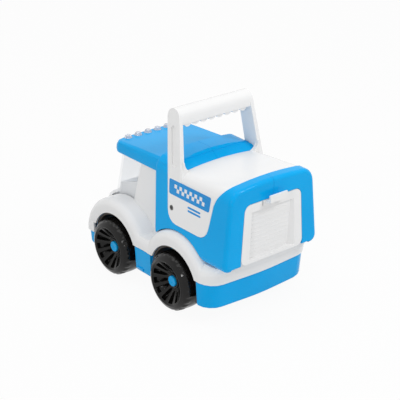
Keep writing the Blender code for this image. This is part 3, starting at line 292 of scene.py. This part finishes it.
# %% Softened shells
for node in ("cargo_shell_left", "cargo_shell_right", "cab_roof", "chassis_pan"):
    softened(node, 0.9 * MM, blue_plastic, "truck")
for node in ("lower_body", "handle_cover"):
    softened(node, 0.8 * MM, white_plastic, "truck")
softened("rear_door", 0.4 * MM, white_plastic, "rear_door")
softened("window_insert", 0.4 * MM, clear_plastic, "truck")

# %% [markdown]
# ## Steel that stays as it is
# The axles and all screws keep their CAD shapes and only get a finish: plated for those under the
# floor, and for the two in the side plates a darker steel that is painted shade of their recesses.

# %% Finish on the carried-over nodes
for node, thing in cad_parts.items():
    if node.startswith(("axle_", "pan_screw_", "cargo_screw_", "cover_screw_")):
        thing.data.materials.clear()
        thing.data.materials.append(recess_shade_steel if node.startswith("cover_") else plated_steel)
        print(thing.data.materials[0].name, "on", node)

# %% [markdown]
# ## Wheels
# A wheel of this toy is one hollow black moulding: a nearly smooth tread, a round shoulder and a
# deep dish. It could be a cylinder with cuts, but a half-profile spun round the axle gives the
# whole body at once, with every radius where it belongs.

# %% Wheel profile
COLUMNS = 120
WHEEL_PROFILE = (
    (2.1, -11.8), (7.0, -11.8), (7.5, -10.9), (8.6, -10.6), (9.3, -11.1), (9.6, -12.4),
    (10.1, -12.8), (10.8, -12.4), (18.0, -7.2), (25.2, -1.9), (25.8, -1.3), (26.3, -0.7),
    (27.2, -0.5), (28.0, -0.9), (28.8, -1.5), (30.0, -1.8), (31.6, -2.7), (33.0, -4.6),
    (33.8, -7.2), (34.3, -10.8), (34.95, -18.0), (34.85, -25.0), (34.3, -28.4), (33.5, -30.2),
    (32.5, -31.0), (31.6, -30.4), (31.0, -27.0), (28.0, -20.0), (24.0, -17.8), (10.2, -17.8),
    (9.1, -18.8), (9.0, -32.2), (8.4, -33.0), (2.1, -33.0))


def wire_ring(shape, points):
    """A closed ring of edges through (radius, height along Y) pairs, on one side of the Y axis."""
    ring = [shape.verts.new((r * MM, y * MM, 0.0)) for r, y in points]
    return ring, [shape.edges.new(pair) for pair in zip(ring, ring[1:] + ring[:1])]


def spun(points, columns):
    """A bmesh of a profile turned fully about the Y axis."""
    shape = bmesh.new()
    ring, wires = wire_ring(shape, points)
    bmesh.ops.spin(shape, geom=ring + wires, cent=(0, 0, 0), axis=(0, 1, 0), angle=math.tau,
                   steps=columns, use_merge=True, use_duplicate=False)
    bmesh.ops.remove_doubles(shape, verts=shape.verts, dist=0.001 * MM)
    bmesh.ops.recalc_face_normals(shape, faces=shape.faces)
    return shape


print("wheel profile with", len(WHEEL_PROFILE), "corners")

# %% [markdown]
# ## Slots and lugs
# The dish has twelve long slots between ribs, and low lugs stand on the outer edge of the tread.
# Both are insets of the wheel's own faces, found by their radius, height and column, because
# insets keep the mesh in quads. A subdivision then rounds every corner as a mould would.

# %% Slots and lugs
SLOT_INSETS = ((0.35, 0.25), (0.25, 0.0), (0.30, -6.2))  # width and depth in mm, rim first
LUG_INSETS = ((0.4, 0.6),)


def polar(face):
    """Radius and height of a face's middle in millimetres, and its column round the axle."""
    middle = face.calc_center_median()
    turn = math.atan2(middle.z, middle.x) % math.tau
    return math.hypot(middle.x, middle.z) / MM, middle.y / MM, int(turn / math.tau * COLUMNS)


def in_slot(radius, height, column):
    """True for a face of the dish in the middle seven of every ten columns."""
    return 10.8 < radius < 25.2 and height > -12.4 and 2 <= column % 10 <= 8


def in_lug(radius, height, column):
    """True for a face of the tread's outer edge in the middle three of every five columns."""
    return radius > 32.9 and -10.8 < height < -4.6 and 1 <= column % 5 <= 3


def wheel_shape():
    """One wheel about the Y axis with its outer side at y = 0."""
    shape = spun(WHEEL_PROFILE, COLUMNS)
    slots = [face for face in shape.faces if in_slot(*polar(face))]
    lugs = [face for face in shape.faces if in_lug(*polar(face))]
    for faces, insets in ((slots, SLOT_INSETS), (lugs, LUG_INSETS)):
        for width, depth in insets:
            bmesh.ops.inset_region(shape, faces=faces, thickness=width * MM, depth=depth * MM,
                                   use_even_offset=True)
    return shape


# %% Four wheels
AXLES = {"front": 72.1766 * MM, "rear": -41.8234 * MM}
AXLE_Z, WHEEL_FACE = 35.0 * MM, 86.5 * MM
SIDES = (("left", 1), ("right", -1))
CORNERS = [(f"{end}_{side}", x, sign) for end, x in AXLES.items() for side, sign in SIDES]


def set_on_axle(shape, axle_x, sign, out):
    """Turn a left-hand shape round for the right side and move it out along its axle."""
    turn = Matrix.Rotation(0.0 if sign > 0 else math.pi, 3, "Z")
    bmesh.ops.rotate(shape, verts=shape.verts, cent=(0, 0, 0), matrix=turn)
    bmesh.ops.translate(shape, verts=shape.verts, vec=(axle_x, sign * out, AXLE_Z))


for corner, axle_x, sign in CORNERS:
    shape = wheel_shape()
    set_on_axle(shape, axle_x, sign, WHEEL_FACE)
    name = "wheel_" + corner
    wheel = new_piece(name + "_moulding", shape, black_plastic, name, sharp=180.0)
    smooth = wheel.modifiers.new("soft corners", "SUBSURF")
    smooth.levels = smooth.render_levels = 1
    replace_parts(wheel, name)

# %% [markdown]
# ## Painted shade in the wheel wells
# Under each wing a dark strip is laid in the well as painted shade, so that the arch looks deep and
# shadowed. A strip has a small L for its section, spun a little more than half way round the axle,
# so it follows the arch and stays clear of the tyre.

# %% Painted shade strips in the wells
SHADE_STRIP_DROP = math.radians(18.0)
SHADE_STRIP_SECTION = ((39.4, 51.0), (40.0, 51.0), (40.0, 72.5), (42.1, 72.5), (42.1, 73.1), (39.4, 73.1))


def swept(section, sign, first, sweep, steps, axle_x):
    """A section of (radius, y) pairs swept part of the way round an axle, with closed ends."""
    shape = bmesh.new()
    ring, wires = wire_ring(shape, [(r, sign * y) for r, y in section])
    bmesh.ops.rotate(shape, verts=ring, cent=(0, 0, 0), matrix=Matrix.Rotation(first, 3, "Y"))
    bmesh.ops.spin(shape, geom=ring + wires, cent=(0, 0, 0), axis=(0, -1, 0), angle=sweep,
                   steps=steps, use_duplicate=False)
    bmesh.ops.holes_fill(shape, edges=shape.edges, sides=0)
    bmesh.ops.recalc_face_normals(shape, faces=shape.faces)
    bmesh.ops.translate(shape, verts=shape.verts, vec=(axle_x, 0.0, AXLE_Z))
    return shape


for corner, axle_x, sign in CORNERS:
    shape = swept(SHADE_STRIP_SECTION, sign, SHADE_STRIP_DROP, math.pi + 2 * SHADE_STRIP_DROP, 64, axle_x)
    new_piece("well_liner_" + corner, shape, painted_shade_plastic, "truck")

# %% [markdown]
# ## Closing the front wells
# Ahead of each front wheel the white body reaches lower than the pan behind it, and a gap stays
# open there. A flat sector of the same dark plastic, fixed to the shade strip, closes the view into
# the hollow wing with more painted shade.

# %% Painted shade flaps in the front wells
FLAP_SECTION = ((39.9, 70.2), (52.0, 70.2), (52.0, 70.8), (39.9, 70.8))
FLAP_FIRST, FLAP_SWEEP = math.radians(-5.0), math.radians(18.0)
for side, sign in SIDES:
    shape = swept(FLAP_SECTION, sign, FLAP_FIRST, FLAP_SWEEP, 8, AXLES["front"])
    new_piece(f"well_shade_flap_{side}", shape, painted_shade_plastic, "truck")

# %% [markdown]
# ## Hub caps
# A blue cap is pressed on each end of an axle. It is a small turned disc with a soft edge and a
# shallow dish in its face, and underneath it has the hole for the axle.

# %% Hub caps
CAP_SEAT = 74.7 * MM
CAP_PROFILE = ((0.0, 2.25), (3.6, 2.3), (4.6, 2.5), (5.4, 2.6), (6.1, 2.4), (6.45, 1.9),
               (6.5, 0.3), (2.3, 0.3), (2.3, 1.8), (0.0, 1.8))
for corner, axle_x, sign in CORNERS:
    shape = spun(CAP_PROFILE, 48)
    set_on_axle(shape, axle_x, sign, CAP_SEAT)
    name = "hub_cap_" + corner
    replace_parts(new_piece(name + "_disc", shape, blue_plastic, "truck"), name)

# %% [markdown]
# ## Skirt catches
# Low on each side skirt a small wedge stands out, as on many toys whose pan snaps into place. Its
# section is one face with five corners, wide at the top and flush at the foot. An extrusion gives
# the length, and a small bevel keeps the lip from looking cut.

# %% Skirt catches
CATCH_SECTION = ((74.0, 26.9), (75.9, 26.3), (75.9, 25.7), (74.3, 21.7), (74.0, 21.7))
CATCH_START, CATCH_LENGTH, CATCH_ROUND = 15.2 * MM, 11.6 * MM, 0.1 * MM


def verts_of(geometry):
    """Only the vertices of what an operator gives back."""
    return [item for item in geometry if isinstance(item, bmesh.types.BMVert)]


def drawn_out(section, sign, start, length):
    """A section of (y, z) pairs, closed to a face and drawn out along X."""
    shape = bmesh.new()
    ring = [shape.verts.new((start, sign * y * MM, z * MM)) for y, z in section]
    far = bmesh.ops.extrude_face_region(shape, geom=[shape.faces.new(ring)])["geom"]
    bmesh.ops.translate(shape, verts=verts_of(far), vec=(length, 0.0, 0.0))
    bmesh.ops.recalc_face_normals(shape, faces=shape.faces)
    return shape


for side, sign in SIDES:
    shape = drawn_out(CATCH_SECTION, sign, CATCH_START, CATCH_LENGTH)
    bmesh.ops.bevel(shape, geom=list(shape.edges), offset=CATCH_ROUND, offset_type="OFFSET",
                    affect="EDGES", segments=2, profile=0.5, material=-1, clamp_overlap=True)
    new_piece(f"skirt_catch_{side}", shape, blue_plastic, "truck")

# %% [markdown]
# ## Roof lamps
# Six small lenses stand in a row through the roof, all cast on one bar underneath. Each lens is a
# turned dome with a ring at its foot. A dome is spun on its own, stood upright and then copied
# into the row, so that the row stays one piece, as the CAD strip is.

# %% Lamp row
LENS_PROFILE = ((0.0, -5.6), (4.8, -5.6), (4.8, -1.5), (4.55, -0.9), (4.1, -0.75), (4.0, 0.2),
                (3.6, 1.3), (2.6, 2.1), (1.3, 2.5), (0.0, 2.6))
LENS_X, LENS_PITCH, LENS_SINK = 92.18 * MM, 14.6, 1.25 * MM
BAR_X, BAR_Z, BAR_WIDTH, BAR_HEIGHT = 86.8 * MM, 156.4 * MM, 8.4 * MM, 1.8 * MM
UPRIGHT = Matrix.Rotation(math.pi / 2, 3, "X")
low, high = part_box("lamp_strip")
lamps = bmesh.new()
for k in range(6):
    dome = spun(LENS_PROFILE, 24)
    bmesh.ops.rotate(dome, verts=dome.verts, cent=(0, 0, 0), matrix=UPRIGHT)
    spot = (LENS_X, (k - 2.5) * LENS_PITCH * MM, high.z - LENS_SINK)
    bmesh.ops.translate(dome, verts=dome.verts, vec=spot)
    one = bpy.data.meshes.new("lens")
    dome.to_mesh(one)
    dome.free()
    lamps.from_mesh(one)
    bpy.data.meshes.remove(one)
bar = bmesh.ops.create_cube(lamps, size=1.0)["verts"]
bmesh.ops.scale(lamps, verts=bar, vec=(BAR_WIDTH, high.y - low.y, BAR_HEIGHT))
bmesh.ops.translate(lamps, verts=bar, vec=(BAR_X, 0.0, BAR_Z))
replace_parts(new_piece("lamp_row", lamps, lens_plastic, "truck"), "lamp_strip")

# %% [markdown]
# ## Ink of the side bands
# On each side plate sits a printed film. Here it is a plain blue band with a row of white chequers,
# which is a common pattern. A print is only ink, with no height of its own, so the chequers are in
# the film's material: a checker texture, kept to a few squares about the middle of the band.

# %% Side band material
BAND_X, BAND_Z, CHEQUER = -56.3 * MM, 143.0 * MM, 4.4 * MM
CHEQUER_REACH = (("X", 6.0), ("Z", 1.0))  # squares each way from the middle
INK_WHITE = (0.80, 0.81, 0.83, 1.0)
band_film = skin_material(
    "printed_band", (0.004, 0.262, 0.655), (0.006, 0.292, 0.715), 0.25, 0.34, gloss=0.3)
tree = band_film.node_tree
where = add_node(tree, "ShaderNodeTexCoord")
cells = add_node(tree, "ShaderNodeMapping", {
    "Location": (-BAND_X / CHEQUER, 0.5, -BAND_Z / CHEQUER),
    "Scale": (1 / CHEQUER, 0.0, 1 / CHEQUER)})
squares = add_node(tree, "ShaderNodeTexChecker", {"Scale": 1.0})
axes = add_node(tree, "ShaderNodeSeparateXYZ")
tree.links.new(where.outputs["Object"], cells.inputs["Vector"])
tree.links.new(cells.outputs["Vector"], squares.inputs["Vector"])
tree.links.new(cells.outputs["Vector"], axes.inputs["Vector"])
ink = squares.outputs["Fac"]
for axis, most in CHEQUER_REACH:
    away = add_node(tree, "ShaderNodeMath", operation="ABSOLUTE")
    within = add_node(tree, "ShaderNodeMath", operation="LESS_THAN")
    within.inputs[1].default_value = most
    both = add_node(tree, "ShaderNodeMath", operation="MULTIPLY")
    tree.links.new(axes.outputs[axis], away.inputs[0])
    tree.links.new(away.outputs[0], within.inputs[0])
    tree.links.new(within.outputs[0], both.inputs[0])
    tree.links.new(ink, both.inputs[1])
    ink = both.outputs[0]
printed = add_node(tree, "ShaderNodeMix", data_type="RGBA")
printed.inputs[MIX_SECOND].default_value = INK_WHITE
ground = tree.nodes["Principled BSDF"].inputs["Base Color"]
tree.links.new(ink, printed.inputs[MIX_FACTOR])
tree.links.new(ground.links[0].from_socket, printed.inputs[MIX_FIRST])
tree.links.new(printed.outputs[MIX_RESULT], ground)
print("band", band_film.name, "with chequers of", round(CHEQUER / MM, 1), "mm")

# %% [markdown]
# ## Printed side bands
# The film is a thin sheet with round corners that leans with the plate, a little narrower at its
# foot. One grid face is scaled, its corners are bevelled and it is stood upright. An extrusion
# makes it a sheet, and both of its faces are then laid on the leaning side.

# %% Side bands
SIDE_LEAN, LEAN_FOOT, FOOT_HALF_WIDTH = 0.109, 83.0 * MM, 69.0 * MM
FILM_SINK, FILM_THICKNESS = 0.02 * MM, 0.14 * MM


def side_y(z):
    """Half width of the cargo body at a height."""
    return FOOT_HALF_WIDTH - SIDE_LEAN * (z - LEAN_FOOT)


def film(width, height, corner, x, z, sign, foot=1.0):
    """A thin sheet with round corners on a side plate, with its lower edge scaled by foot."""
    shape = bmesh.new()
    bmesh.ops.create_grid(shape, x_segments=1, y_segments=1, size=0.5)
    bmesh.ops.scale(shape, verts=shape.verts, vec=(width, height, 1.0))
    for vert in shape.verts:
        if vert.co.y < 0:
            vert.co.x *= foot
    bmesh.ops.bevel(shape, geom=list(shape.verts), offset=corner, offset_type="OFFSET",
                    affect="VERTICES", segments=6, profile=0.5, material=-1)
    bmesh.ops.rotate(shape, verts=shape.verts, cent=(0, 0, 0), matrix=UPRIGHT)
    bmesh.ops.translate(shape, verts=shape.verts, vec=(x, 0.0, z))
    outer = verts_of(bmesh.ops.extrude_face_region(shape, geom=list(shape.faces))["geom"])
    for vert in shape.verts:
        vert.co.y = sign * (side_y(vert.co.z) - FILM_SINK)
    for vert in outer:
        vert.co.y += sign * FILM_THICKNESS
    bmesh.ops.recalc_face_normals(shape, faces=shape.faces)
    return shape


for side, sign in SIDES:
    shape = film(73.0 * MM, 17.5 * MM, 2.2 * MM, BAND_X, BAND_Z, sign, foot=0.955)
    new_piece(f"side_band_{side}", shape, band_film, "truck")

# %% [markdown]
# ## Fillets under the handle
# Each handle post grows out of the white deck in a hollow curve, which keeps such a joint from
# cracking. The fillet's outline is a quarter of a circle closed inside the post, and an extrusion
# gives it its width.

# %% Post fillets
HOLLOW_Y, HOLLOW_Z, HOLLOW_RADIUS = 41.6, 173.6, 13.0
FILLET_START, FILLET_WIDTH = -38.6 * MM, 5.0 * MM
hollow = [(HOLLOW_Y + HOLLOW_RADIUS * math.cos(t), HOLLOW_Z - HOLLOW_RADIUS * math.sin(t))
          for t in (k * math.pi / 20 for k in range(11))]
FILLET_SECTION = [(56.4, HOLLOW_Z), *hollow, (HOLLOW_Y, 158.0), (56.6, 156.0)]
for side, sign in SIDES:
    shape = drawn_out(FILLET_SECTION, sign, FILLET_START, FILLET_WIDTH)
    new_piece(f"post_fillet_{side}", shape, white_plastic, "truck")

# %% [markdown]
# ## The step behind the cab
# The blue arch behind the cab stands a little above the sloping recess behind it. The step is too
# fine for the solids, so a strip of their top is cut out between two planes, and its faces are
# extruded upwards by less than a millimetre.

# %% Arch band
ARCH_FRONT, ARCH_REAR, ARCH_RISE = 5.5 * MM, -21.8 * MM, 0.9 * MM
ARCH_LOW = 158.0 * MM
ARCH_CUTS = (((ARCH_FRONT, 0, 0), (1, 0, 0)), ((ARCH_REAR, 0, 0), (-1, 0, 0)),
             ((0, 0, ARCH_LOW), (0, 0, -1)))
shape = bmesh.new()
for node in ("cargo_shell_left", "cargo_shell_right"):
    shape.from_mesh(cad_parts[node].data)
bmesh.ops.remove_doubles(shape, verts=shape.verts, dist=SAME_POINT)
for spot, away in ARCH_CUTS:
    bmesh.ops.bisect_plane(shape, geom=[*shape.verts, *shape.edges, *shape.faces], dist=0.001 * MM,
                           plane_co=spot, plane_no=away, clear_outer=True)
steep = [face for face in shape.faces if face.normal.z < 0.6]
bmesh.ops.delete(shape, geom=steep, context="FACES")
raised = bmesh.ops.extrude_face_region(shape, geom=list(shape.faces), use_keep_orig=True)["geom"]
bmesh.ops.translate(shape, verts=verts_of(raised), vec=(0, 0, ARCH_RISE))
bmesh.ops.recalc_face_normals(shape, faces=shape.faces)
new_piece("arch_band", shape, blue_plastic, "truck")

# %% [markdown]
# ## Short stripes under the band
# Below the long band sit two plain stripes in the same blue. They are strips of the same thin
# film, cut with round ends, so the same helper makes them.

# %% Side stripes
STRIPE_SPOTS = ((-66.2, 128.6), (-66.8, 124.6))
for side, sign in SIDES:
    for row, (x, z) in enumerate(STRIPE_SPOTS, 1):
        shape = film(22.0 * MM, 2.2 * MM, 1.0 * MM, x * MM, z * MM, sign)
        new_piece(f"side_stripe_{side}_{row}", shape, band_film, "truck")

# %% [markdown]
# ## A white world
# The photograph is a pack shot on pure white. The world shows white to the camera, to mirrors and
# through glass, by way of Light Path, while the light that it throws on the truck stays at a plain
# level. A brighter world would do it too, but it would wash out the colours.

# %% World
WHITE = (1.0, 1.0, 1.0, 1.0)
WORLD_LIGHT = 0.64


def seen_rays(tree):
    """1 for rays from the camera, from reflections and through glass, 0 for light on surfaces."""
    path = add_node(tree, "ShaderNodeLightPath")
    first = add_node(tree, "ShaderNodeMath", operation="MAXIMUM")
    both = add_node(tree, "ShaderNodeMath", operation="MAXIMUM")
    tree.links.new(path.outputs["Is Camera Ray"], first.inputs[0])
    tree.links.new(path.outputs["Is Glossy Ray"], first.inputs[1])
    tree.links.new(first.outputs[0], both.inputs[0])
    tree.links.new(path.outputs["Is Transmission Ray"], both.inputs[1])
    return both.outputs[0]


world = bpy.data.worlds.new("studio")
bpy.context.scene.world = world
world.use_nodes = True
tree = world.node_tree
lit = tree.nodes["Background"]
lit.inputs["Color"].default_value = WHITE
lit.inputs["Strength"].default_value = WORLD_LIGHT
seen = add_node(tree, "ShaderNodeBackground", {"Color": WHITE, "Strength": 1.0})
blend = add_node(tree, "ShaderNodeMixShader")
tree.links.new(seen_rays(tree), blend.inputs[0])
tree.links.new(lit.outputs[0], blend.inputs[1])
tree.links.new(seen.outputs[0], blend.inputs[2])
tree.links.new(blend.outputs[0], tree.nodes["World Output"].inputs["Surface"])
print("world", world.name, "lights the truck at", WORLD_LIGHT)

# %% [markdown]
# ## Floor
# The floor is white paper in the same way. It keeps a share of plain diffuse, also for the camera,
# so that the truck's shadow still shows on it.

# %% Floor
FLOOR_GLOW = 0.94
PAPER_GREY = (0.75, 0.75, 0.75, 1.0)
floor_shape = bmesh.new()
bmesh.ops.create_grid(floor_shape, x_segments=1, y_segments=1, size=6.0)
floor_mesh = bpy.data.meshes.new("floor")
floor_shape.to_mesh(floor_mesh)
floor_shape.free()
floor = bpy.data.objects.new("floor", floor_mesh)
bpy.context.scene.collection.objects.link(floor)
floor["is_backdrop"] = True
paper = bpy.data.materials.new("studio_paper")
paper.use_nodes = True
tree = paper.node_tree
tree.nodes.remove(tree.nodes["Principled BSDF"])
matt = add_node(tree, "ShaderNodeBsdfDiffuse", {"Color": PAPER_GREY})
glow = add_node(tree, "ShaderNodeEmission", {"Color": WHITE, "Strength": 1.0})
share = add_node(tree, "ShaderNodeMath", operation="MULTIPLY")
share.inputs[1].default_value = FLOOR_GLOW
mixed = add_node(tree, "ShaderNodeMixShader")
tree.links.new(seen_rays(tree), share.inputs[0])
tree.links.new(share.outputs[0], mixed.inputs[0])
tree.links.new(matt.outputs[0], mixed.inputs[1])
tree.links.new(glow.outputs[0], mixed.inputs[2])
tree.links.new(mixed.outputs[0], tree.nodes["Material Output"].inputs["Surface"])
floor_mesh.materials.append(paper)
print("floor of", paper.name, "with a glow of", FLOOR_GLOW)

# %% [markdown]
# ## Lamps
# Three soft boxes point at the truck. The one behind it brightens the rear and the deck, the large
# one overhead evens the tops, and the small one on the left draws crisp glints on wheels and edges.

# %% Lamps
def soft_lamp(name, place, size, power):
    """A square soft box that points at the middle of the truck."""
    light = bpy.data.lights.new(name, "AREA")
    light.size = size
    light.energy = power
    lamp = bpy.data.objects.new(name, light)
    lamp.location = place
    lamp.rotation_euler = (AIM - Vector(place)).to_track_quat("-Z", "Y").to_euler()
    bpy.context.scene.collection.objects.link(lamp)
    print("lamp", name, power, "W")


soft_lamp("key_from_behind", (-1.0, -0.6, 1.2), 0.3, 6.0)
soft_lamp("overhead", (0.1, 0.2, 1.6), 1.2, 5.8)
soft_lamp("fill_from_left", (-0.9, 1.5, 0.8), 0.28, 4.2)
bpy.context.scene.view_settings.view_transform = "Standard"

# %% Sizes
low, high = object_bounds()
print("visual box", [round(v / MM, 1) for v in low], [round(v / MM, 1) for v in high])
